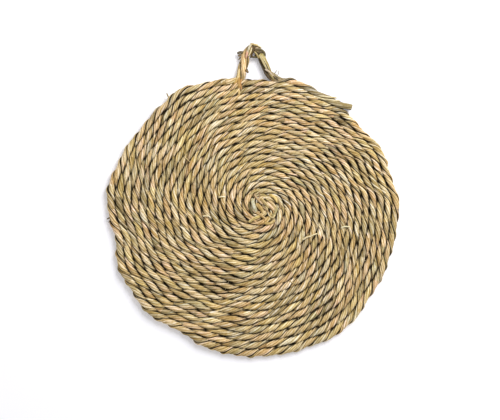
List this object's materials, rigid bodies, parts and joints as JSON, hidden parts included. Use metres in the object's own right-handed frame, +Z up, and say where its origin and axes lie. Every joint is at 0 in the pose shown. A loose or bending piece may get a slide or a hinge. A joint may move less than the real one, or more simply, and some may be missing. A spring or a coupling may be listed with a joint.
{
  "type": "chair seat pad",
  "caption": "Round flat seat pad wound as a spiral of twisted rush rope and sewn through, with a rope hanging loop at its rim.",
  "frame": {"origin": "under the middle of the whole object's box, on the surface that the pad lies on", "axes": "+Z up through the pad's thickness, +Y from the pad's middle towards the hanging loop, +X to the right seen from above"},
  "size_m": [0.3612, 0.3946, 0.0121],
  "materials": {
    "straw": "dry rush, matte",
    "olive_straw": "dry green-grey rush, matte",
    "dry_fibre": "frayed rush ends, matte",
    "twine": "thin undyed twine, matte"
  },
  "bodies": {
    "mat": {"centre_knot": "dry_fibre", "coil_ply_upper": "straw", "coil_ply_lower": "olive_straw", "tail_ply_upper": "olive_straw", "tail_ply_lower": "straw", "sewing_twine_01": "twine", "sewing_twine_02": "twine", "sewing_twine_03": "twine", "sewing_twine_04": "twine", "sewing_twine_05": "twine", "sewing_twine_06": "twine", "sewing_twine_07": "twine", "sewing_twine_08": "twine"},
    "loop": {"loop_ply_upper": "straw", "loop_ply_lower": "olive_straw", "loop_binding": "dry_fibre"}
  },
  "joints": [
    {"name": "loop_swing", "type": "hinge", "parent": "mat", "child": "loop", "pos_m": [0.00439, 0.16099, 0.005], "axis": [1, 0, 0], "range_deg": [0, 90]}
  ]
}
